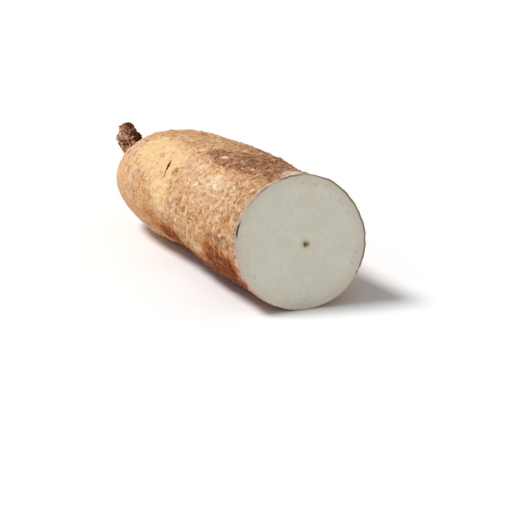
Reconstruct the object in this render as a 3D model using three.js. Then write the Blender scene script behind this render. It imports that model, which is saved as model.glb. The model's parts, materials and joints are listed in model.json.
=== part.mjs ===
// Half of a cassava root: a thick, slightly bowed root, cut across at one end and left whole at the
// other, where it domes over and narrows to the woody stub that joined it to the plant.
// Skin, rind, flesh and stub grew as one piece, so the root is one closed solid.
//
// Millimetres, +Z up. The root lies along X with its cut face towards +X and its stub towards -X.
// The origin is on the floor, under the middle of the root's box.

import * as THREE from 'three';

// Body: a stout cylinder, a little thicker at the cut
const rootLength = 214.5; // middle of the cut to the end of the dome, without the stub
const bodyRadius = 36.1;
const cutFlare = 2.6; // added to the radius at the cut
const flareLength = 120;
const oval = 0.031; // wider sideways and lower by this share of the radius
const cutHeight = 36.8; // middle of the cut above the floor
const bow = 4.1; // sideways bend, at half length
const arch = 3.3; // upward bend, at half length
const drop = 7.2; // how far the axis has sunk at the dome's end

// Cut: one stroke of a knife, not quite square to the root
const cutLean = 12.1; // degrees that the cut face looks up
const cutTurn = -6.7; // degrees that it looks sideways, towards -Y
const cutFade = 60; // the rings stand square again this far from the cut

// Dome: the rounded end, a superellipse
const domeLength = 75;
const domePower = 2.2;

// Stub: leaves the dome above its middle and bends up
const stubRadius = 8.4;
const stubRise = 7.6; // above the dome's axis
const stubSide = 0.4;
const stubLength = 31.5;
const stubBend = 34; // degrees of bend from its root to its tip
const stubTurn = 3.7; // degrees that it turns sideways
const stubGirths = [[0, 1], [0.2, 0.78], [0.48, 0.98], [0.74, 0.94], [0.92, 0.68], [1, 0.48]];
const knobs = [
  { along: 0.42, angle: 195, height: 1.2, reach: 0.14, spread: 38 },
  { along: 0.7, angle: 150, height: 0.9, reach: 0.1, spread: 30 },
  { along: 0.93, angle: 20, height: 1.5, reach: 0.13, spread: 50 },
  { along: 0.66, angle: 10, height: 0.8, reach: 0.09, spread: 32 },
  { along: 0.45, angle: 285, height: 1.1, reach: 0.12, spread: 35 },
  { along: 0.78, angle: 245, height: 1, reach: 0.1, spread: 35 },
  { along: 0.5, angle: 85, height: 0.9, reach: 0.1, spread: 30 },
];

// Swellings and hollows of the skin: how far each is from the cut, where it is round the root, in
// degrees from +Y over the top, its height, and its reach along and round the root
const swellings = [
  { station: 0, angle: 270, height: -0.5, reach: 12, spread: 45 },
  { station: 0, angle: 75, height: 0.8, reach: 9, spread: 40 },
  { station: 0, angle: 5, height: -0.8, reach: 14, spread: 35 },
  { station: 34, angle: 65, height: -3, reach: 21, spread: 40 },
  { station: 120, angle: 62, height: -0.8, reach: 24, spread: 40 },
  { station: 32, angle: 268, height: 0.9, reach: 22, spread: 30 },
  { station: 142, angle: 272, height: 0.7, reach: 22, spread: 30 },
  { station: 60, angle: 228, height: 3.1, reach: 35, spread: 40 },
  { station: 165, angle: 215, height: -0.7, reach: 20, spread: 40 },
  { station: 192, angle: 160, height: 1, reach: 18, spread: 35 },
  { station: 120, angle: 10, height: 1.5, reach: 30, spread: 45 },
  { station: 62, angle: 335, height: -1.1, reach: 24, spread: 38 },
];
const lumpHeight = 0.35;
const lumpLength = 17;
const foldDepth = 0.3;
const foldPitch = 15;

// Fineness of the mesh
const sectors = 64;
const bodyRings = 35;
const domeRings = 14;
const stubRings = 11;

const degrees = Math.PI / 180;

function bodyRadiusAt(station) {
  const flare = Math.max(0, 1 - station / flareLength);
  return bodyRadius + cutFlare * flare * flare;
}

// A ring is a slice across the root: its middle, its radius, and how its plane leans and turns.
// Places are on a straight root; the bend comes last.
function bodySlices() {
  const slices = [];
  for (let i = 0; i < bodyRings; i += 1) {
    const station = ((rootLength - domeLength) * i) / bodyRings;
    const fade = Math.max(0, 1 - station / cutFade) ** 2;
    slices.push({
      station,
      middle: new THREE.Vector3(-station, 0, 0),
      radius: bodyRadiusAt(station),
      lean: cutLean * fade,
      turn: cutTurn * fade,
    });
  }
  return slices;
}

// How far along the root the dome's skin is, at this distance from its axis
function domeStation(distance) {
  const share = Math.max(0, 1 - (distance / bodyRadius) ** 2);
  return rootLength - domeLength + domeLength * share ** (1 / domePower);
}

// The dome's rings close in on the root of the stub, which is off the axis
function domeSlices() {
  const slices = [];
  const lastAngle = Math.acos(stubRadius / bodyRadius);
  const offset = new THREE.Vector2(stubSide, stubRise);
  const way = offset.clone().normalize();
  for (let i = 0; i <= domeRings; i += 1) {
    const radius = bodyRadius * Math.cos((lastAngle * i) / domeRings);
    const moved = (bodyRadius - radius) / (bodyRadius - stubRadius);
    const shift = offset.clone().multiplyScalar(moved);
    const near = domeStation(Math.min(bodyRadius, radius + shift.length()));
    const far = domeStation(Math.abs(radius - shift.length()));
    const tilt = Math.atan2(far - near, 2 * radius);
    slices.push({
      middle: new THREE.Vector3(-(near + far) / 2, shift.x, shift.y),
      radius: radius / Math.cos(tilt),
      lean: (-tilt / degrees) * way.y,
      turn: (tilt / degrees) * way.x,
    });
  }
  return slices;
}

// The stub follows an arc, from square on the dome to nearly upright
function stubSlices(base) {
  const slices = [];
  const girthPoints = stubGirths.map(([along, share]) => new THREE.Vector2(along, share));
  const girth = new THREE.SplineCurve(girthPoints);
  const middle = base.middle.clone();
  const turn = (base.turn + stubTurn) * degrees;
  for (let i = 1; i <= stubRings; i += 1) {
    const along = i / stubRings;
    const slope = (-base.lean + stubBend * (along - 0.5 / stubRings)) * degrees;
    const level = new THREE.Vector3(-Math.cos(turn), -Math.sin(turn), 0);
    middle.addScaledVector(level, (Math.cos(slope) * stubLength) / stubRings);
    middle.z += (Math.sin(slope) * stubLength) / stubRings;
    slices.push({
      middle: middle.clone(),
      radius: stubRadius * girth.getPoint(along).y,
      lean: base.lean - stubBend * along,
      turn: base.turn + stubTurn,
      stub: along,
    });
  }
  return slices;
}

// A smooth bump: 1 at its middle, fading with the distance along and the angle round
function bump(along, apart) {
  return Math.exp(-(along ** 2) - apart ** 2);
}

function angleBetween(angle, from) {
  return THREE.MathUtils.euclideanModulo(angle / degrees - from + 180, 360) - 180;
}

// Swellings, small lumps, and low uneven folds that run round the skin
function skinRelief(station, angle) {
  let height = 0;
  for (const swelling of swellings) {
    const along = (station - swelling.station) / swelling.reach;
    height += swelling.height * bump(along, angleBetween(angle, swelling.angle) / swelling.spread);
  }
  const sway = station / lumpLength + 1.7 * Math.sin(angle + 0.5);
  height += lumpHeight * Math.sin(sway) * Math.cos(2 * angle - station / 47);
  const wander = 0.35 * Math.sin(station / 23 + angle) + 0.12 * Math.sin(2 * angle + 1);
  const patch = 0.5 + 0.5 * Math.sin(3 * angle + station / 19) * Math.sin(angle - station / 31);
  height += foldDepth * patch * Math.sin(2 * Math.PI * (station / foldPitch + wander));
  return height;
}

// Knobs of old bark on the stub
function stubRelief(along, angle) {
  let height = 0;
  for (const knob of knobs) {
    const apart = angleBetween(angle, knob.angle) / knob.spread;
    height += knob.height * bump((along - knob.along) / knob.reach, apart);
  }
  return height;
}

// Bows the straight root and lays it on the floor, where it is pressed flat
function lay(point, station = -point.x) {
  const along = THREE.MathUtils.clamp(station / rootLength, 0, 1);
  const belly = 4 * along * (1 - along);
  point.y += bow * belly;
  point.z = Math.max(0, point.z + cutHeight + arch * belly - drop * along);
  return point;
}

function slicePoint(slice, angle) {
  const lean = slice.lean * degrees;
  const turn = slice.turn * degrees;
  const up = new THREE.Vector3(-Math.sin(lean), 0, Math.cos(lean));
  const outward = new THREE.Vector3().crossVectors(new THREE.Vector3(-Math.sin(turn), Math.cos(turn), 0), up);
  const side = new THREE.Vector3().crossVectors(up, outward.normalize());
  let radius = slice.radius * (1 + oval * Math.cos(2 * angle));
  if (slice.stub === undefined) {
    const hold = Math.min(1, slice.radius / (2 * stubRadius));
    radius += skinRelief(-slice.middle.x, angle) * hold;
  } else {
    radius += stubRelief(slice.stub, angle);
  }
  const point = slice.middle.clone();
  point.addScaledVector(side, radius * Math.cos(angle));
  point.addScaledVector(up, radius * Math.sin(angle));
  return lay(point, slice.station);
}

// Skins the slices with triangles and closes both ends with a fan
function skinOver(slices) {
  const points = [];
  for (const slice of slices) {
    for (let j = 0; j < sectors; j += 1) {
      points.push(slicePoint(slice, (2 * Math.PI * j) / sectors));
    }
  }
  const cutMiddle = points.length;
  points.push(lay(slices[0].middle.clone()));
  const tipMiddle = points.length;
  points.push(lay(slices.at(-1).middle.clone()));

  const faces = [];
  const last = slices.length - 1;
  for (let j = 0; j < sectors; j += 1) {
    const next = (j + 1) % sectors;
    for (let i = 0; i < last; i += 1) {
      const here = i * sectors;
      const beyond = here + sectors;
      faces.push(here + j, beyond + j, beyond + next);
      faces.push(here + j, beyond + next, here + next);
    }
    faces.push(cutMiddle, j, next);
    faces.push(tipMiddle, last * sectors + next, last * sectors + j);
  }

  const geometry = new THREE.BufferGeometry().setFromPoints(points);
  geometry.setIndex(faces);
  return geometry;
}

function cassavaRoot() {
  const dome = domeSlices();
  const geometry = skinOver([...bodySlices(), ...dome, ...stubSlices(dome.at(-1))]);
  geometry.computeBoundingBox();
  const middle = geometry.boundingBox.getCenter(new THREE.Vector3());
  geometry.translate(-middle.x, -middle.y, 0);
  geometry.computeVertexNormals();

  const skin = new THREE.MeshStandardMaterial({ color: 0xcda078, roughness: 0.85, metalness: 0 });
  const root = new THREE.Mesh(geometry, skin);
  root.name = 'cassava_root';
  return root;
}

const group = new THREE.Group();
group.add(cassavaRoot());

export default group;
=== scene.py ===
import json
import math
from collections import namedtuple

import bpy
import numpy as np
from mathutils import Matrix, Vector


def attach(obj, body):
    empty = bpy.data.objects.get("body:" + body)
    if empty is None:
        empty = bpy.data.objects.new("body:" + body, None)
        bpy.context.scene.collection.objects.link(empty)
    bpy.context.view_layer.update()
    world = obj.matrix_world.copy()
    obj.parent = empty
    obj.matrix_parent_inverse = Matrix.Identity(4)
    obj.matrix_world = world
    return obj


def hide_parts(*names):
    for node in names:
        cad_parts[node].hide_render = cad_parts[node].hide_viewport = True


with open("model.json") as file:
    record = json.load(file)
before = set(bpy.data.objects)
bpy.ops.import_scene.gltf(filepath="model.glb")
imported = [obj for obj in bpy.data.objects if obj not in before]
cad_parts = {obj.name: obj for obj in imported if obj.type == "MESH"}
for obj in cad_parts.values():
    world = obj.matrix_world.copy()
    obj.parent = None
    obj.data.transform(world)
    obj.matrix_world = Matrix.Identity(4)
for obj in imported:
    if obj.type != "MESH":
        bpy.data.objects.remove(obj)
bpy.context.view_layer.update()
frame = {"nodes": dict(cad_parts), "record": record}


# Body: half of a cassava root, a starchy tuber that lies on its side. It is grown here ring by ring,
# outwards over the knife's cut, along the skin, round the dome and up the woody stub that held it
# to the plant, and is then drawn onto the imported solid, so it has that solid's form.

MM = 0.001
SECTORS = 32
ROOT_LENGTH = 214.5 * MM  # middle of the cut to the end of the dome, without the stub
BODY_RADIUS = 36.1 * MM
CUT_FLARE = 2.6 * MM  # added to the radius at the cut
FLARE_LENGTH = 120 * MM
BOW = 4.1 * MM  # sideways bend, at half length
ARCH = 3.3 * MM  # upward bend, at half length
DROP = 7.2 * MM  # how far the axis has sunk at the dome's end
CUT_LEAN = 12.1  # degrees that the cut face looks up
CUT_TURN = -6.7  # degrees that it looks sideways, towards -Y
CUT_FADE = 60 * MM  # the rings stand square again this far from the cut
DOME_LENGTH = 75 * MM
DOME_POWER = 2.2  # 2 would be an ellipse, and more is squarer
STUB_RADIUS = 8.4 * MM
STUB_RISE = 7.6 * MM  # above the dome's axis
STUB_LENGTH = 31.5 * MM
STUB_BEND = 34  # degrees from its foot to its tip
STUB_TURN = 3.7  # degrees sideways
STUB_GIRTHS = (0.88, 0.8, 0.86, 0.97, 0.98, 0.94, 0.8, 0.48)  # shares of its radius, upwards
FLESH_SHARES = (0.05, 0.45, 0.9, 0.97)  # the cut's rings, from its fibre, 0, to its rim, 1
FIBRE_SIDE = 2.8 * MM  # from the middle of the cut
FIBRE_RISE = -1.4 * MM
RIM_STATIONS = (0, 1.2 * MM, 3.2 * MM, 7 * MM)  # close rings, which keep the rim sharp
BODY_RINGS = 21
DOME_RINGS = 10
ON_CUT = 0.01  # a point is on the cut up to this many millimetres past the rim

Ring = namedtuple("Ring", "middle radius lean turn")

cut_mount = next(mount for mount in frame["record"]["mounts"] if mount["name"] == "cut_face")
cut_middle = Vector(cut_mount["pos_m"])
cut_normal = Vector(cut_mount["axis"]).normalized()
root_solid = frame["nodes"]["cassava_root"]


def laid(station, side=0, rise=0):
    """A place on the bowed axis, this far from the cut, or beside it"""
    along = min(1, station / ROOT_LENGTH)
    belly = 4 * along * (1 - along)
    return cut_middle + Vector((-station, side + BOW * belly, rise + ARCH * belly - DROP * along))


def body_ring(station):
    """A ring of the body, this far from the cut"""
    flare = max(0, 1 - station / FLARE_LENGTH)
    fade = max(0, 1 - station / CUT_FADE) ** 2
    radius = BODY_RADIUS + CUT_FLARE * flare * flare
    return Ring(laid(station), radius, CUT_LEAN * fade, CUT_TURN * fade)


def dome_station(distance):
    """How far from the cut the dome's skin is, at this distance from its axis"""
    share = max(0, 1 - (distance / BODY_RADIUS) ** 2)
    return ROOT_LENGTH - DOME_LENGTH + DOME_LENGTH * share ** (1 / DOME_POWER)


def dome_ring(part):
    """A ring of the dome, from its shoulder, 0, to the foot of the stub, 1"""
    radius = BODY_RADIUS * math.cos(math.acos(STUB_RADIUS / BODY_RADIUS) * part)
    rise = STUB_RISE * (BODY_RADIUS - radius) / (BODY_RADIUS - STUB_RADIUS)
    near = dome_station(min(BODY_RADIUS, radius + rise))
    far = dome_station(abs(radius - rise))
    tilt = math.atan2(far - near, 2 * radius)
    return Ring(laid((near + far) / 2, rise=rise), radius / math.cos(tilt), -math.degrees(tilt), 0)


def stub_rings(foot):
    """The stub's rings, along an arc that leaves the dome square and bends up"""
    stub = []
    middle = foot.middle
    heading = math.radians(STUB_TURN)
    level = Vector((-math.cos(heading), -math.sin(heading), 0))
    for i, girth in enumerate(STUB_GIRTHS, 1):
        part = i / len(STUB_GIRTHS)
        slope = math.radians(STUB_BEND * (part - 0.5 / len(STUB_GIRTHS)) - foot.lean)
        step = level * math.cos(slope) + Vector((0, 0, math.sin(slope)))
        middle = middle + step * (STUB_LENGTH / len(STUB_GIRTHS))
        stub.append(Ring(middle, STUB_RADIUS * girth, foot.lean - STUB_BEND * part, STUB_TURN))
    return stub


rim = body_ring(0)
cut_up = Vector((-math.sin(math.radians(rim.lean)), 0, math.cos(math.radians(rim.lean))))
cut_side = cut_up.cross(cut_normal)
fibre = cut_middle + cut_side * FIBRE_SIDE + cut_up * FIBRE_RISE
rings = []
for share in FLESH_SHARES:
    rings.append(rim._replace(middle=fibre.lerp(rim.middle, share), radius=rim.radius * share))
rings += [body_ring(station) for station in RIM_STATIONS]
last_rim = RIM_STATIONS[-1]
shoulder = ROOT_LENGTH - DOME_LENGTH
for i in range(1, BODY_RINGS):
    rings.append(body_ring(last_rim + (shoulder - last_rim) * i / BODY_RINGS))
rings += [dome_ring(i / DOME_RINGS) for i in range(DOME_RINGS + 1)]
rings += stub_rings(rings[-1])

bpy.ops.object.select_all(action="DESELECT")
first = rings[0]
bpy.ops.mesh.primitive_circle_add(
    vertices=SECTORS, radius=first.radius, fill_type="NGON", location=first.middle,
    rotation=(0, math.radians(90), 0)
)
root = bpy.context.object
root.name = "root_body"
bpy.ops.object.transform_apply(location=True, rotation=True, scale=True)
bpy.ops.object.mode_set(mode="EDIT")
bpy.ops.mesh.select_all(action="SELECT")
bpy.ops.transform.rotate(value=math.radians(first.lean), orient_axis="Y", center_override=first.middle)
bpy.ops.transform.rotate(value=-math.radians(first.turn), orient_axis="Z", center_override=first.middle)
for before, after in zip(rings, rings[1:]):
    bpy.ops.mesh.extrude_region_move(TRANSFORM_OT_translate={"value": after.middle - before.middle})
    scale = after.radius / before.radius
    bpy.ops.transform.resize(value=(scale, scale, scale), center_override=after.middle)
    leaned = math.radians(after.lean - before.lean)
    turned = math.radians(before.turn - after.turn)
    bpy.ops.transform.rotate(value=leaned, orient_axis="Y", center_override=after.middle)
    bpy.ops.transform.rotate(value=turned, orient_axis="Z", center_override=after.middle)
bpy.ops.mesh.select_all(action="SELECT")
bpy.ops.mesh.normals_make_consistent(inside=False)
bpy.ops.object.mode_set(mode="OBJECT")

# Each point remembers where it grew: millimetres from the rim along the skin, or inwards over the cut
# as a negative distance, and its place round the root.
rim_index = len(FLESH_SHARES)
cage = np.array([vertex.co for vertex in root.data.vertices]).reshape(len(rings), SECTORS, 3)
spacing = np.linalg.norm(np.diff(cage, axis=0), axis=2).mean(axis=1)
stations = np.concatenate([[0], np.cumsum(spacing)])
stations = (stations - stations[rim_index]) / MM
foot_station = float(stations[-1 - len(STUB_GIRTHS)])
radii = np.array([rim.radius] * rim_index + [ring.radius for ring in rings[rim_index:]]) / MM
angles = np.arange(SECTORS) * 2 * math.pi / SECTORS
grown = np.empty(cage.shape)
grown[:, :, 0] = stations[:, None]
grown[:, :, 1] = radii[:, None] * np.cos(angles)
grown[:, :, 2] = radii[:, None] * np.sin(angles)
root.data.attributes.new("grown", "FLOAT_VECTOR", "POINT").data.foreach_set("vector", grown.ravel())
crease = root.data.attributes.new("crease_edge", "FLOAT", "EDGE")
for edge in root.data.edges:
    crease.data[edge.index].value = all(vertex // SECTORS == rim_index for vertex in edge.vertices)


def finish_with(kind, **settings):
    """Adds a modifier to the root and applies it"""
    modifier = root.modifiers.new(kind.lower(), kind)
    for name, value in settings.items():
        setattr(modifier, name, value)
    bpy.ops.object.modifier_apply(modifier=modifier.name)


finish_with("SUBSURF", levels=1, render_levels=1)
finish_with("SHRINKWRAP", target=root_solid, wrap_method="NEAREST_SURFACEPOINT")
for vertex, origin in zip(root.data.vertices, root.data.attributes["grown"].data):
    if origin.vector[0] < ON_CUT:
        vertex.co -= cut_normal * (vertex.co - cut_middle).dot(cut_normal)
finish_with("SUBSURF", levels=2, render_levels=2)


# Bark: a thin corky skin in low uneven folds, with papery flakes that have half rubbed off. The same
# formulas raise the mesh here and colour it below.
class Field:
    """A number, place or colour that varies over the root: a node's output with Python's operators"""

    def __init__(self, tree, output=None):
        self.tree = tree
        self.output = output

    def node(self, kind, settings, inputs, output=0):
        """Adds a node: its settings first, then the values or links of its inputs"""
        node = self.tree.nodes.new(kind)
        for name, value in settings.items():
            setattr(node, name, value)
        for name, value in inputs.items():
            if isinstance(value, Field):
                self.tree.links.new(value.output, node.inputs[name])
            else:
                node.inputs[name].default_value = value
        return Field(self.tree, node.outputs[output])

    def math(self, operation, *others):
        return self.node("ShaderNodeMath", {"operation": operation}, dict(enumerate((self, *others))))

    def vector(self, operation, *others, output=0):
        settings = {"operation": operation}
        return self.node("ShaderNodeVectorMath", settings, dict(enumerate((self, *others))), output)

    def __add__(self, other):
        return self.math("ADD", other)

    __radd__ = __add__

    def __sub__(self, other):
        return self.math("SUBTRACT", other)

    def __rsub__(self, other):
        return (self * -1) + other

    def __neg__(self):
        return self * -1

    def __mul__(self, other):
        return self.math("MULTIPLY", other)

    __rmul__ = __mul__

    def __truediv__(self, other):
        return self.math("DIVIDE", other)

    def rise(self, low, high):
        """0 up to low, 1 from high, and smooth between them"""
        settings = {"interpolation_type": "SMOOTHSTEP"}
        return self.node("ShaderNodeMapRange", settings, {"Value": self, "From Min": low, "From Max": high})

    def part(self, axis):
        """One of this place's three numbers, 0 to 2"""
        return self.node("ShaderNodeSeparateXYZ", {}, {0: self}, axis)

    def shifted(self, x, y, z):
        """This place moved by so many millimetres, where the same formula gives another pattern"""
        return self.vector("ADD", (x, y, z))

    def stretched(self, along, around):
        """This place measured in cells of so many millimetres along and round the root"""
        return self.vector("DIVIDE", (along, around, around))

    def noise(self, detail=2, roughness=0.5, output=0):
        """Clouds a cell wide, from 0 to 1 with 0.5 in the middle"""
        inputs = {"Vector": self, "Scale": 1, "Detail": detail, "Roughness": roughness}
        return self.node("ShaderNodeTexNoise", {}, inputs, output)

    def cells(self):
        """One number for each cell, 0 to 1"""
        inputs = {"Vector": self, "Scale": 1}
        return self.node("ShaderNodeTexVoronoi", {"feature": "F1"}, inputs, "Color").part(0)

    def seam(self):
        """How far the nearest edge of a cell is, from 0 up"""
        settings = {"feature": "DISTANCE_TO_EDGE"}
        return self.node("ShaderNodeTexVoronoi", settings, {"Vector": self, "Scale": 1})

    def paint(self, below, above):
        """The colour below, with the colour above where this is 1"""
        return self.node("ShaderNodeMix", {"data_type": "RGBA"}, {0: self, 6: below, 7: above}, 2)

    def stored(self, name, output="Fac"):
        """What the root's points hold under this name, for a material"""
        return self.node("ShaderNodeAttribute", {"attribute_name": name}, {}, output)


def wavy(grown, pitch, reach):
    """The place on the skin, drawn aside by up to about this reach, so that no line runs straight"""
    aside = grown.stretched(pitch, pitch).noise(output="Color").shifted(-0.5, -0.5, -0.5)
    return aside.vector("MULTIPLY_ADD", (reach, reach, reach), grown)


def scraps(grown, along, around):
    """Torn patches of papery cork, each a little higher or lower than the next, -0.5 to 0.5"""
    return wavy(grown, around * 0.7, around * 0.9).stretched(along, around).cells() - 0.5


def strands(grown, along, around, thin, start=0):
    """Thin broken strands that run round the root: 1 on each, 0 beside it"""
    shifted = grown.shifted(start, start, 0)
    noise = wavy(shifted, around * 0.8, along * 1.6).stretched(along, around).noise(1)
    broken = shifted.stretched(along * 1.6, around * 0.7).noise(1).rise(0.44, 0.54)
    return broken * (1 - (noise - 0.5).math("ABSOLUTE").rise(thin * 0.4, thin))


def curled(grown, pitch, start=0):
    """The curled edges of papery flakes: 1 on each, 0 beside it, and broken off in places"""
    shifted = grown.shifted(start, start, start)
    edge = 1 - wavy(shifted, pitch * 0.7, pitch).stretched(pitch * 1.8, pitch).seam().rise(0.02, 0.12)
    return edge * grown.stretched(pitch * 0.8, pitch * 0.8).noise(1).rise(0.46, 0.58)


def crumbs(grown, along, around):
    """Uneven grain with lumps of so many millimetres along and round the root, about -0.3 to 0.3"""
    return wavy(grown, around, around * 0.6).stretched(along, around).noise(3, 0.65) - 0.5


SCAR_STATION = 119.8  # millimetres from the cut, where it begins
SCAR_ANGLE = 135.5  # degrees round the root, where it begins
SCAR_SPREAD = 24  # degrees that it runs on round the root
SCAR_DRIFT = 4.6  # millimetres that it nears the cut on its way
SCAR_WIDTH = 1.7  # millimetres from its middle to its edge, where it is widest


def scar(grown):
    """An old slit in the skin, 1 along its middle, which thins to a line round the root"""
    angle = grown.part(2).math("ARCTAN2", grown.part(1)) * math.degrees(1)
    passed = (angle - SCAR_ANGLE) / SCAR_SPREAD
    middle = SCAR_STATION - passed * SCAR_DRIFT + crumbs(grown, 4, 4) * 1.6
    opened = passed.rise(0, 0.35) * (1 - passed.rise(0.4, 0.6) * 0.55) * (1 - passed.rise(0.8, 1))
    return (opened * SCAR_WIDTH - (grown.part(0) - middle).math("ABSOLUTE")).rise(0, 0.5)


# Zones of the skin: how far each is from the cut in millimetres, where it is round the root in degrees
# from +Y over the top, its reach along and round the root, and its strength. The peel is "edged" in
# brown or has "parted" from the flesh at the rim, and where the skin is "raised" the strength is a height.
# The rust zones are partly the bark's own rust-brown and partly painted shade with painted orange
# reflected light on the underside.
ZONES = {
    "creamy": [(136, 138, 30, 22, 1.4), (112, 140, 12, 16, 0.6), (120, 168, 13, 18, 1.0),
               (150, 125, 18, 11, 0.6), (60, 140, 12, 9, 0.3), (113, 180, 9, 8, 0.4),
               (150, 320, 40, 40, 1.0)],
    "brown": [(34, 95, 22, 18, 2.0), (62, 104, 20, 14, 0.8), (82, 113, 14, 8, 1.0), (62, 118, 13, 6, 0.8),
              (47, 109, 9, 7, 0.8), (6, 109, 7, 8, 0.7), (60, 66, 44, 16, 1.0), (34, 187, 13, 8, 0.9),
              (178, 130, 10, 9, 0.4), (40, 30, 40, 30, 0.8), (120, 10, 30, 25, 0.7),
              (229, 90, 8, 80, 0.3)],
    "rusty_and_shaded": [(28, 211, 26, 18, 1.9), (110, 214, 18, 11, 1.6), (120, 200, 28, 9, 0.42),
              (135, 194, 9, 8, 0.75), (74, 222, 24, 8, 0.7), (42, 194, 12, 7, 0.6),
              (10, 198, 12, 10, 0.6), (80, 262, 90, 38, 1.3), (60, 238, 60, 14, 0.9),
              (60, 330, 40, 20, 0.8), (250, 105, 6, 40, 0.9)],
    "honey": [(165, 190, 30, 34, 1.2), (190, 170, 22, 30, 0.9), (122, 190, 20, 12, 1.0),
              (176, 162, 6, 5, 1.0), (15, 164, 9, 5, 0.8), (130, 98, 34, 14, 0.9),
              (155, 100, 20, 12, 0.6), (200, 250, 30, 60, 0.8)],
    "scaly": [(56, 138, 6, 5, 0.9), (66, 140, 26, 12, 0.6), (92, 133, 12, 7, 0.5), (42, 112, 12, 5, 0.4),
              (72, 112, 8, 4, 0.8), (76, 90, 8, 4, 0.8), (64, 204, 12, 5, 1.1), (12, 158, 4, 3, 0.8),
              (30, 165, 5, 3, 0.9), (100, 300, 50, 30, 0.6), (28, 142, 30, 16, 0.45),
              # The zone on the next line, at 233 mm, is painted light that lightens the shaded underside of
              # the stub's neck
              (233, 180, 8, 40, 0.15)],
    "pale": [(54, 151, 24, 10, 1.0), (78, 146, 14, 9, 0.8), (28, 155, 12, 9, 0.5),
             (196, 158, 10, 20, 0.3), (11, 87, 8, 7, 1.2)],
    # Zones that make the skin darker near the cut and over the top; along the dome's left edge the darkening
    # is painted shade
    "darkened": [(8, 150, 24, 55, 0.55), (12, 175, 20, 20, 0.35), (120, 90, 50, 18, 0.65),
               (155, 100, 22, 12, 0.5), (18, 120, 24, 14, 0.35), (70, 92, 40, 20, 0.2),
               (30, 208, 40, 14, 0.2), (107, 149, 5, 4, 0.25), (180, 170, 12, 14, 0.12),
               (115, 112, 16, 10, 0.22)],
    "rough": [(22, 172, 20, 26, 1.4), (58, 146, 30, 16, 0.25), (26, 130, 14, 20, 0.5),
              (106, 177, 24, 16, 0.7)],
    "lilac": [(5, 90, 8, 11, 1.8), (14, 85, 8, 7, 1.5), (34, 62, 16, 9, 1.0), (1, 134, 4, 14, 0.5),
              (2, 186, 4, 26, 0.6), (90, 178, 12, 7, 0.8), (175, 140, 12, 12, 0.7), (158, 163, 8, 9, 0.8),
              # The last zone on the next line, at 228 mm, is painted light that lightens the shaded
              # underside of the stub's neck
              (96, 130, 10, 5, 0.8), (34, 156, 8, 6, 0.6), (228, 185, 8, 50, 0.9),
              (186, 130, 12, 14, 0.8)],
    "streaky": [(50, 178, 50, 24, 1.0), (108, 176, 22, 18, 1.0), (150, 190, 24, 20, 0.5),
                (110, 100, 40, 16, 0.8)],
    "neck": [(232, 190, 16, 50, 1.0)],
    # Painted shade on the stub's side turned from the light, with a little painted light on its lit side
    "stub_shade": [(238, 75, 7, 34, 1.6), (252, 75, 5, 40, 0.6), (237, 160, 2.5, 14, 0.7),
                (245, 20, 7, 30, 0.7), (243, 250, 8, 60, 0.8), (243, 175, 7, 30, -0.25)],
    "parted": [(0, 163.5, 9, 5.5, 1.3), (0, 128, 9, 22, 0.3), (0, 119, 9, 5, 0.1), (0, 96, 9, 10, 0.6)],
    "edged": [(0, 30, 9, 50, 1.0), (0, 56, 9, 4, 0.6), (0, 27, 9, 4, 0.7), (0, 345, 9, 18, 0.6),
              (0, 76, 9, 14, 0.8), (0, 119, 9, 4, 0.4), (0, 98, 9, 8, 0.5)],
    "raised": [(0, 56, 2.5, 4, 0.4), (0, 27, 2.5, 3, 0.4), (0, 10, 2, 3, 0.3), (0, 351, 2, 3, 0.3),
               (0, 84, 4, 8, 0.3), (0, 358, 7, 28, 1.1), (0, 60, 6, 24, 0.3), (0, 166, 7, 11, 0.9),
               (0, 205, 7, 9, 0.6), (0, 118, 7, 16, -0.5), (243, 185, 3.5, 45, 1.4),
               (234, 180, 3.5, 45, -1.8), (229, 188, 5, 50, -2.2), (233, 190, 4, 40, -1.2),
               (238, 188, 3.5, 45, -1.2), (251, 170, 3, 50, -1.0), (246, 45, 9, 45, -1.0),
               (236, 45, 5, 40, -0.8)],
}

places = np.empty(3 * len(root.data.vertices), np.float32)
root.data.attributes["grown"].data.foreach_get("vector", places)
places = places.reshape(-1, 3)
bearings = np.degrees(np.arctan2(places[:, 2], places[:, 1]))
for name, zones in ZONES.items():
    strength = np.zeros(len(places), np.float32)
    for zone_station, zone_angle, reach, span, most in zones:
        along = (places[:, 0] - zone_station) / reach
        apart = ((bearings - zone_angle + 180) % 360 - 180) / span
        strength += most * np.exp(-(along**2) - apart**2)
    root.data.attributes.new(name, "FLOAT", "POINT").data.foreach_set("value", strength)

# Sizes of flakes and strands, along and round the root, and the pitch of curls. The relief and the
# colours share them.
SMALL_SCRAP = (5.6, 3.4)
LARGE_SCRAP = (13, 7)
PALE_STRAND = (3.6, 5)
DARK_STRAND = (4.2, 5)
DARK_START = 40
LARGE_CURL = 8
SMALL_CURL = 5

# Heights of the relief, in millimetres
SMALL_SCRAP_HEIGHT = 0.22
LARGE_SCRAP_HEIGHT = 0.3
CRUMB_HEIGHT = 0.8
PALE_STRAND_HEIGHT = 0.26
DARK_STRAND_DEPTH = 0.34
LARGE_CURL_HEIGHT = 0.5
SMALL_CURL_HEIGHT = 0.3
LUMP_HEIGHT = 1.5
LARGE_KNOB_HEIGHT = 4
SMALL_KNOB_HEIGHT = 2
KNOB_SCRAP_HEIGHT = 0.5
SCAR_DEPTH = 0.9
PEEL_EDGE_HEIGHT = 0.18
PEEL_CRUMB_HEIGHT = 0.6
GROOVE_DEPTH = 0.06
PARTED_DEPTH = 0.5
SMOOTH_SHARE = 0.65  # how much of the relief is worn off where the skin is smooth
RIM_SHARE = 0.35  # how much of it is left at the rim, where the knife has pressed it
RIM_REACH = 9  # how far from the rim, in millimetres, it fades
SHARPEST_ROUND = 50  # degrees between faces that are still shaded as one

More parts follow.
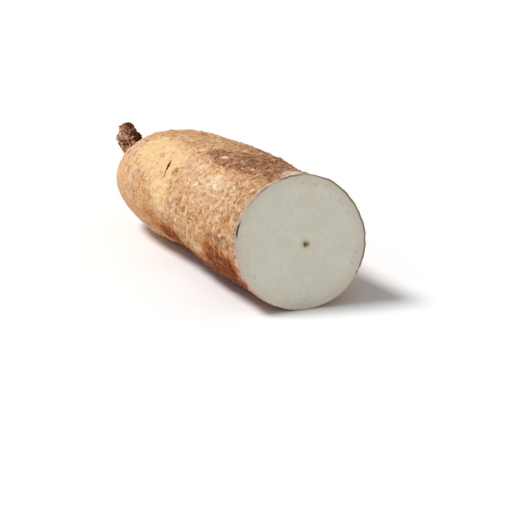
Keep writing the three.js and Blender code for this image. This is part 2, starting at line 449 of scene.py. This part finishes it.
relief_nodes = bpy.data.node_groups.new("bark_relief", "GeometryNodeTree")
relief_nodes.interface.new_socket("Geometry", in_out="INPUT", socket_type="NodeSocketGeometry")
relief_nodes.interface.new_socket("Geometry", in_out="OUTPUT", socket_type="NodeSocketGeometry")
relief = Field(relief_nodes)


def held(name, kind="FLOAT"):
    """What the root's points hold under this name, for the relief"""
    return relief.node("GeometryNodeInputNamedAttribute", {"data_type": kind}, {"Name": name})


def joined(x, y, z):
    return relief.node("ShaderNodeCombineXYZ", {}, {"X": x, "Y": y, "Z": z})


def scaled(vector, size):
    settings = {"operation": "SCALE"}
    return relief.node("ShaderNodeVectorMath", settings, {0: vector, "Scale": size})


def lip(station):
    """The peel's edge, on both sides of the rim"""
    return station.rise(-0.6, -0.3) * (1 - station.rise(0.2, 1))


def groove(station):
    """The gap between the peel and the flesh, a millimetre inside the rim"""
    return station.rise(-1.5, -1.15) * (1 - station.rise(-0.75, -0.5))


grown = held("grown", "FLOAT_VECTOR")
station = grown.part(0)
on_skin = joined(station.math("MAXIMUM", 0), grown.part(1), grown.part(2))
stub = station.rise(foot_station + 1, foot_station + 6)
calm = 1 - held("creamy").math("MAXIMUM", held("honey")).rise(0.3, 0.9) * SMOOTH_SHARE
torn = scraps(on_skin, *SMALL_SCRAP) * SMALL_SCRAP_HEIGHT
torn = torn + scraps(on_skin, *LARGE_SCRAP) * LARGE_SCRAP_HEIGHT
torn = torn + crumbs(on_skin, 5, 3) * CRUMB_HEIGHT
wrinkled = strands(on_skin, *PALE_STRAND, 0.16) * PALE_STRAND_HEIGHT
wrinkled = wrinkled - strands(on_skin, *DARK_STRAND, 0.14, DARK_START) * DARK_STRAND_DEPTH
curls = curled(on_skin, LARGE_CURL) * LARGE_CURL_HEIGHT + curled(on_skin, SMALL_CURL) * SMALL_CURL_HEIGHT
lumps = crumbs(on_skin, 9, 12) * LUMP_HEIGHT
knobs = crumbs(on_skin, 3.6, 3.6) * LARGE_KNOB_HEIGHT + crumbs(on_skin, 1.8, 1.8) * SMALL_KNOB_HEIGHT
knobs = knobs + scraps(on_skin, 3, 3) * KNOB_SCRAP_HEIGHT
ruffled = (torn + wrinkled + curls) * calm + lumps
ruffled = ruffled * (RIM_SHARE + station.rise(0, RIM_REACH) * (1 - RIM_SHARE))
height = ruffled * (1 - stub) + knobs * stub + held("raised") - scar(on_skin) * SCAR_DEPTH

# On the cut face the rim moves in the plane of the cut and the face follows it. The peel's edge stands a
# little proud of the flesh, and a thin groove parts the two.
outward = joined(0, grown.part(1), grown.part(2)).vector("NORMALIZE")
in_cut = scaled(tuple(cut_side), outward.part(1)).vector("ADD", scaled(tuple(cut_up), outward.part(2)))
normal = relief.node("GeometryNodeInputNormal", {}, {})
past_rim = station.rise(0, 3)
away = relief.node("ShaderNodeMix", {"data_type": "VECTOR"}, {0: past_rim, 4: in_cut, 5: normal}, 1)
fading = station.rise(-RIM_REACH, 0)
peel_edge = lip(station) * (PEEL_EDGE_HEIGHT + crumbs(on_skin, 3, 3) * PEEL_CRUMB_HEIGHT)
peel_edge = peel_edge - groove(station) * (held("parted") * PARTED_DEPTH + GROOVE_DEPTH)
offset = scaled(away, height * fading * MM)
offset = offset.vector("ADD", scaled(tuple(cut_normal), peel_edge * MM))
source = relief.node("NodeGroupInput", {}, {})
moved = relief.node("GeometryNodeSetPosition", {}, {"Geometry": source, "Offset": offset})
relief_nodes.links.new(moved.output, relief_nodes.nodes.new("NodeGroupOutput").inputs[0])
finish_with("NODES", node_group=relief_nodes)
for vertex in root.data.vertices:
    vertex.co.z = max(0, vertex.co.z)
bpy.ops.object.shade_smooth_by_angle(angle=math.radians(SHARPEST_ROUND))


# Colours of the bark, where it is rubbed pale, brown, rusty or scaly; on the underside the rust is partly
# painted shade and painted orange reflected light
def colour(red, green, blue):
    """A colour given in the usual 0 to 255 of a screen"""
    return tuple(((part / 255 + 0.055) / 1.055) ** 2.4 for part in (red, green, blue)) + (1,)


def start_material(name):
    """Gives the root a new material, as a field to work in and the shader to link to"""
    material = bpy.data.materials.new(name)
    material.use_nodes = True
    root.data.materials.append(material)
    return Field(material.node_tree), material.node_tree.nodes["Principled BSDF"]


DEGREE_SPAN = 0.6  # millimetres of skin to a degree round the root


def blots(ragged, marks):
    """Marks, each 1 in its middle, with edges as ragged as the place that they are drawn on"""
    mask = None
    for mark_station, angle, along, around in marks:
        apart = np.hypot(places[:, 0] - mark_station, (bearings - angle) * DEGREE_SPAN)
        middle = tuple(float(part) for part in places[np.argmin(apart)] / (along, around, around))
        away = ragged.stretched(along, around).vector("DISTANCE", middle, output="Value")
        mark = 1 - away.rise(0.55, 1.1)
        mask = mark if mask is None else mask.math("MAXIMUM", mark)
    return mask


def layered(tint, *layers):
    """This colour with others over it in turn, each given by its mask and its colour"""
    for mask, above in layers:
        tint = mask.paint(tint, above)
    return tint


TAN = colour(192, 142, 98)
YELLOW = colour(208, 164, 102)
PINK = colour(206, 154, 126)
CREAM = colour(230, 196, 145)
GOLDEN = colour(240, 202, 144)
BROWN = colour(166, 112, 76)
BROWN_DARK = colour(112, 66, 40)
AMBER = colour(204, 150, 94)
RUST_AND_SHADE_TONE = colour(140, 62, 12)
PEACH = colour(222, 160, 124)
HONEY = colour(230, 182, 136)
SCALE_WHITE = colour(228, 206, 174)
RIM_PALE = colour(212, 193, 182)
LILAC = colour(216, 182, 162)
ORANGE = colour(206, 132, 72)
FLECK_PALE = colour(242, 206, 168)
CURL_HIGHLIGHT = colour(240, 204, 162)
DARK_MARK = colour(132, 96, 58)
SCAR_DARK = colour(66, 44, 20)
STUB_DARK = colour(72, 40, 20)
STUB_BROWN = colour(178, 122, 92)
STUB_HIGHLIGHT = colour(232, 198, 170)

# What worn and rubbed cork multiplies its colour by, and the painted shade that darkens pits, furrows and
# the side of curled edges
WORN_LIGHT = (1.35, 1.48, 1.65, 1)
WORN_DARK = (0.66, 0.58, 0.5, 1)
HOLLOW_SHADE = (0.47, 0.38, 0.3, 1)
UNWORN = (1, 1, 1, 1)

# Marks: how far each is from the cut in millimetres, where it is round the root in degrees, and its
# size along and round it
DARK_MARKS = [(103, 128, 1.4, 1), (104, 146, 3.4, 1.2), (107, 149, 3, 1.2), (106, 143, 2.4, 1),
              (32, 145, 2.4, 2.2), (14, 159, 1.4, 1.4), (82, 100, 2, 1.6), (22, 102, 2.4, 1.4),
              (38, 98, 2, 3), (57, 172, 1, 1), (12, 166, 1.6, 1.2), (50, 103, 1.6, 1.6),
              (22, 173, 2.6, 1.8), (20, 178, 3.4, 1.2), (32, 155, 1.6, 0.9), (46, 163, 3.4, 0.6),
              (36, 161, 2.4, 0.8), (40, 143, 3.4, 0.7), (24, 166, 1, 2), (73, 188, 0.8, 4),
              (60, 185, 1.8, 1.2), (89, 185, 1.6, 1.4), (101, 176, 1, 3)]
AMBER_MARKS = [(106, 147, 5, 4), (86, 190, 12, 5), (137, 184, 7, 8), (142, 173, 10, 8), (16, 163, 12, 7),
               (40, 173, 14, 6), (66, 172, 10, 4), (82, 166, 9, 3), (133, 198, 9, 6), (152, 107, 14, 5)]
GOLDEN_MARKS = [(82, 166, 1.2, 5), (98, 170, 1, 4), (126, 171, 1.6, 5), (107, 184, 1.2, 5),
                (121, 161, 1.4, 4), (113, 176, 0.9, 5), (76, 176, 1.4, 3.5), (9, 158, 1, 3), (91, 163, 1, 3)]
PALE_MARKS = [(55, 138, 4.6, 3.4), (60, 143, 2, 4), (75, 90, 2.4, 2.4), (72.7, 113, 3.6, 2),
              (45.6, 114, 2.6, 1.6), (31, 166, 5, 2.2), (8, 130, 3, 2), (9, 159, 1.6, 2),
              (35, 149, 3, 1.6), (29, 147, 1.4, 2.4), (73, 165, 1.6, 3), (167, 155, 1.2, 2.4),
              (170, 163, 1.6, 2.2)]

bark, shader = start_material("bark")
grown = bark.stored("grown", "Vector")
station = grown.part(0)
mottle = crumbs(grown, 11, 10)
fray = crumbs(grown, 4.8, 3.4)
ragged = wavy(grown, 2.4, 2.6)
strokes = crumbs(grown.shifted(50, 0, 0), 3.2, 8)
edges = mottle * 2.0 + fray * 1.4
creamy = (bark.stored("creamy") + edges).rise(0.1, 0.95)
brown = (bark.stored("brown") + edges).rise(0.2, 0.75)
rust_and_shade = bark.stored("rusty_and_shaded") + edges * 0.8
honey = (bark.stored("honey") + edges).rise(0.1, 0.8)
scaly = (bark.stored("scaly") + fray * 2.6 + mottle * 1.5).rise(0.4, 1.1)
lilac = (bark.stored("lilac") + fray * 2.6).rise(0.3, 0.9)
streaky = (bark.stored("streaky") + mottle).rise(0.2, 0.8)
smooth = creamy.math("MAXIMUM", honey * 0.4)

# The soft colours of the zones, over a ground that wanders from pink to yellow
tint = layered(
    crumbs(grown.shifted(30, 30, 0), 6, 4).rise(-0.14, 0.12).paint(PINK, YELLOW),
    (mottle.rise(-0.12, 0.12) * 0.7, TAN),
    (crumbs(grown.shifted(0, 30, 90), 7, 9).rise(0, 0.16) * 0.4, PEACH),
    (honey * 0.6, HONEY),
    (creamy, CREAM),
    (creamy * (strokes + fray * 0.6).rise(-0.02, 0.14) * 0.8, HONEY),
    (brown, BROWN),
    (brown * (0.02 - strokes - fray * 0.6).rise(-0.02, 0.12) * 0.7, BROWN_DARK),
    (bark.stored("brown").rise(1.2, 2) * 0.42, BROWN_DARK),
    # Orange and rust over the underside, partly the bark's own colour and partly painted shade and painted
    # orange reflected light
    (rust_and_shade.rise(0.15, 0.9), ORANGE),
    (rust_and_shade.rise(0.6, 1.5), RUST_AND_SHADE_TONE),
    ((blots(ragged, AMBER_MARKS) + fray * 1.2).rise(0.2, 1) * 0.75, AMBER),
    (lilac * 0.6, LILAC),
    ((bark.stored("lilac") - 1).rise(0, 0.7) * 0.65, RIM_PALE),
    (bark.stored("pale").rise(0, 1.2) * 0.34, SCALE_WHITE),
    (scaly * 0.8, SCALE_WHITE),
)

# Light and dark flakes, with painted shade in pits and furrows, and a painted highlight along curled edges
# with a painted shadow beside it
bright = strands(grown, *PALE_STRAND, 0.08) * 0.7
bright = bright + strands(grown, 2.4, 6, 0.07, 90) * (0.1 + streaky * 0.7)
furrow = strands(grown, *DARK_STRAND, 0.07, DARK_START) * 0.7 + strands(grown, 2.4, 5, 0.06, 150) * 0.5
curls = curled(grown, LARGE_CURL).math("MAXIMUM", curled(grown, SMALL_CURL) * 0.7)
beside = curled(grown, LARGE_CURL, 0.5).math("MAXIMUM", curled(grown, SMALL_CURL, 0.4) * 0.7)
shaded = beside * (1 - curls)
loose = crumbs(grown.shifted(0, 70, 0), 4.2, 2.6).rise(0.06, 0.18)
pits = crumbs(grown.shifted(0, 0, 70), 4.2, 2.6).rise(0.09, 0.19)
drift = crumbs(grown.shifted(90, 0, 0), 13, 15)
patchy = scraps(grown, *SMALL_SCRAP) * 0.45 + scraps(grown, *LARGE_SCRAP) * 0.25 + drift * 0.9
patchy = patchy + fray * 1.8 + mottle * 0.5 + strokes * (streaky * 1.2 + 0.4)
patchy = patchy * (bark.stored("rough") + 1)
# Some zones lower the tone near the cut and over the top; along the dome's left edge that is painted shade
worn = patchy * (1 - smooth * 0.4) * (1 - rust_and_shade.rise(0.3, 1) * 0.4) - bark.stored("darkened")
shade = layered(
    (-worn).rise(0, 1).paint(UNWORN, WORN_DARK),
    (worn.rise(0, 1), WORN_LIGHT),
    # Painted shade in pits and furrows, and painted shadow beside curled edges
    ((pits + furrow).math("MINIMUM", 1) * 0.7 * (1 - smooth * 0.75), HOLLOW_SHADE),
    (shaded * 0.7 * (1 - smooth * 0.75), HOLLOW_SHADE),
)
plain = (smooth * 0.85).math("MAXIMUM", rust_and_shade.rise(0.2, 1) * 0.8)
plain = plain.math("MAXIMUM", brown * 0.5)
rubbed = (station + 0.4 - bark.stored("lilac") * 1.6 + fray * 8 + mottle * 12).rise(0, 1.4)
tint = layered(
    tint.vector("MULTIPLY", shade),
    ((loose + bright).math("MINIMUM", 1) * 0.45 * (1 - plain), FLECK_PALE),
    # Painted highlight along the curled edges of flakes
    (curls * 0.55 * (1 - plain), CURL_HIGHLIGHT),
    ((blots(ragged, GOLDEN_MARKS) + fray * 2).rise(0.2, 0.8) * 0.85, GOLDEN),
    ((blots(ragged, PALE_MARKS) + fray * 2.5).rise(0.3, 1) * 0.7, SCALE_WHITE),
    ((blots(ragged, DARK_MARKS) + fray * 3).rise(0.4, 1.1) * 0.65, DARK_MARK),
    (scar(grown), SCAR_DARK),
    ((1 - rubbed) * 0.7, RIM_PALE),
)

# The stub's knobbly old wood, darker between the knobs and lighter on them, partly the wood's own mottle and
# partly painted shade and painted highlight, with small painted glints on the knobs
stub = (station - foot_station - bark.stored("neck") * 14).rise(1, 3)
# The stub's painted shade lowers the knobs on its side turned from the light
knobs = crumbs(grown, 1.8, 1.8) * 4.4 + crumbs(grown, 4, 4) * 1.4 + 0.62 - bark.stored("stub_shade")
glints = crumbs(grown.shifted(0, 20, 0), 1.3, 1.3).rise(0.08, 0.16) * knobs.rise(0.3, 0.6)
wood = layered(
    knobs.rise(0, 0.55).paint(STUB_DARK, STUB_BROWN),
    ((knobs.rise(0.6, 1.15) * 0.7).math("MAXIMUM", glints), STUB_HIGHLIGHT),
    (bark.stored("rusty_and_shaded").rise(0.2, 0.9) * 0.6, RUST_AND_SHADE_TONE),
)
tint = stub.paint(tint, wood)
bark.tree.links.new(tint.output, shader.inputs["Base Color"])
shader.inputs["Roughness"].default_value = 0.75
shader.inputs["Specular IOR Level"].default_value = 0.08
grain = fray * 1.5 + crumbs(grown, 3, 1.8) * 1.5 + (loose + bright) * 0.6 - (pits + furrow) * 0.6
bump = bark.node("ShaderNodeBump", {}, {"Height": grain, "Strength": 0.9, "Distance": 0.4 * MM})
bark.tree.links.new(bump.output, shader.inputs["Normal"])


# Cut: the knife left white starchy flesh with a woody fibre in its middle, a ring of small dots where
# the rind begins, and the thin edge of the bark round it.
FLESH = colour(238, 234, 219)
FLESH_SHADE = colour(228, 226, 208)
FLESH_WARM = colour(240, 226, 208)
FLESH_COOL = colour(226, 232, 226)
FIBRE = colour(108, 92, 46)
FIBRE_HALO = colour(214, 202, 160)
FIBRE_TAIL = 1.8 * MM  # how far beside the fibre its fainter end shows
RIND_DOT = colour(180, 172, 144)
RIND = colour(222, 207, 184)
PEEL_PALE = colour(238, 208, 188)
PEEL_DARK = colour(150, 130, 104)
GROOVE_SHADE = colour(104, 66, 34)
FLESH_GLOW = (4 * MM, 3 * MM, 2 * MM)  # how far red, green and blue light pass through the flesh

flesh, shader = start_material("flesh")
grown = flesh.stored("grown", "Vector")
station = grown.part(0)
inwards = -station
here = flesh.node("ShaderNodeTexCoord", {}, {}, "Object").vector("DIVIDE", (MM, MM, MM))
cloud = here.stretched(9, 9).noise(3, 0.6)
cool = here.shifted(60, 0, 0).stretched(7, 7).noise(3, 0.6)
mottle = here.stretched(2.6, 2.6).noise(3, 0.6)
streak = grown.stretched(16, 1.8).noise(2, 0.6)
fray = crumbs(grown, 2.4, 3.4)
rough = (here.stretched(1.1, 1.1).noise(2) - 0.5) * 1.6
ring = inwards.rise(2.4, 3.0) * (1 - inwards.rise(3.8, 4.4))
dots = here.stretched(2, 2).noise(1).rise(0.52, 0.72) * grown.stretched(20, 12).noise(1).rise(0.4, 0.55)
from_fibre = here.vector("DISTANCE", tuple(fibre / MM), output="Value")
from_tail = here.vector("DISTANCE", tuple((fibre + cut_side * FIBRE_TAIL) / MM), output="Value")
halo = 1 - (from_fibre + (mottle - 0.5) * 3).rise(0.8, 4.4)
peel = (flesh.stored("edged") + fray * 2).rise(0.35, 0.75).paint(PEEL_PALE, PEEL_DARK)
parted = (flesh.stored("parted") + fray * 1.2).rise(0, 1)
tint = layered(
    (streak * 0.25 + mottle * 0.35 + cloud * 0.4).rise(0.4, 0.62).paint(FLESH, FLESH_SHADE),
    (cloud.rise(0.5, 0.62) * 0.4, FLESH_WARM),
    (cool.rise(0.5, 0.7) * 0.35, FLESH_COOL),
    ((1 - (inwards + (mottle - 0.5) * 2).rise(2.2, 4)) * 0.45, RIND),
    (ring * dots * 0.35, RIND_DOT),
    (halo * 0.9, FIBRE_HALO),
    ((1 - (from_tail + rough).rise(0.3, 1.8)) * 0.4, FIBRE),
    (1 - (from_fibre + rough).rise(0.6, 2.2), FIBRE),
    (station.rise(-1.0, -0.6), peel),
    # Painted shade in the groove where the peel has parted from the flesh
    (groove(station) * parted, GROOVE_SHADE),
)
flesh.tree.links.new(tint.output, shader.inputs["Base Color"])
shader.inputs["Roughness"].default_value = 0.5
shader.inputs["Subsurface Weight"].default_value = 0.3
shader.inputs["Subsurface Radius"].default_value = FLESH_GLOW
slots = [int(places[list(face.vertices), 0].max() < ON_CUT) for face in root.data.polygons]
root.data.polygons.foreach_set("material_index", slots)
root.data.update()

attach(root, "root")
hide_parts("cassava_root")


# Floor, light and camera: the root lies on a wide sheet of white paper in a pale room. One big
# softbox lights it from the left, and the camera looks at its cut through a long lens.
FLOOR_SIZE = 8
PAPER_WHITE = (0.86, 0.86, 0.86, 1)
ROOM_LIGHT = 0.4
SUN_AZIMUTH = -40
SUN_ELEVATION = 56
SUN_WIDTH = 18  # degrees of the sky that it fills, as a wide softbox does
SUN_STRENGTH = 3.0
CAMERA_AZIMUTH = 62
CAMERA_ELEVATION = 17
CAMERA_DISTANCE = 1.0
CAMERA_LENS = 126.7
SENSOR_WIDTH = 36
AIM_LEFT = 24.7 * MM  # how far left of the cut's middle, and below it, the camera looks
AIM_DOWN = 7.5 * MM

bpy.ops.object.select_all(action="DESELECT")
bpy.ops.mesh.primitive_plane_add(size=FLOOR_SIZE)
floor = bpy.context.object
floor.name = "floor"
paper = bpy.data.materials.new("floor_paper")
paper.use_nodes = True
paper.node_tree.nodes["Principled BSDF"].inputs["Base Color"].default_value = PAPER_WHITE
paper.node_tree.nodes["Principled BSDF"].inputs["Roughness"].default_value = 0.9
floor.data.materials.append(paper)

world = bpy.data.worlds.new("studio")
world.use_nodes = True
world.node_tree.nodes["Background"].inputs["Color"].default_value = (1, 1, 1, 1)
world.node_tree.nodes["Background"].inputs["Strength"].default_value = ROOM_LIGHT
bpy.context.scene.world = world
bpy.context.scene.view_settings.view_transform = "Standard"


def way_to(azimuth, elevation):
    """The direction from the root towards this side and height, in degrees"""
    a = math.radians(azimuth)
    e = math.radians(elevation)
    return Vector((math.sin(a) * math.cos(e), -math.cos(a) * math.cos(e), math.sin(e)))


sunward = way_to(SUN_AZIMUTH, SUN_ELEVATION)
bpy.ops.object.light_add(type="SUN", location=sunward)
lamp = bpy.context.object
lamp.name = "window_softbox"
lamp.data.angle = math.radians(SUN_WIDTH)
lamp.data.energy = SUN_STRENGTH
lamp.rotation_euler = sunward.to_track_quat("Z", "Y").to_euler()

backward = way_to(CAMERA_AZIMUTH, CAMERA_ELEVATION)
right = way_to(CAMERA_AZIMUTH + 90, 0)
upward = backward.cross(right)
aim = cut_middle - right * AIM_LEFT - upward * AIM_DOWN
bpy.ops.object.camera_add(location=aim + backward * CAMERA_DISTANCE)
camera = bpy.context.object
camera.rotation_euler = Matrix((right, upward, backward)).transposed().to_euler()
camera.data.lens = CAMERA_LENS
camera.data.sensor_width = SENSOR_WIDTH
camera.data.clip_end = 20
bpy.context.scene.camera = camera
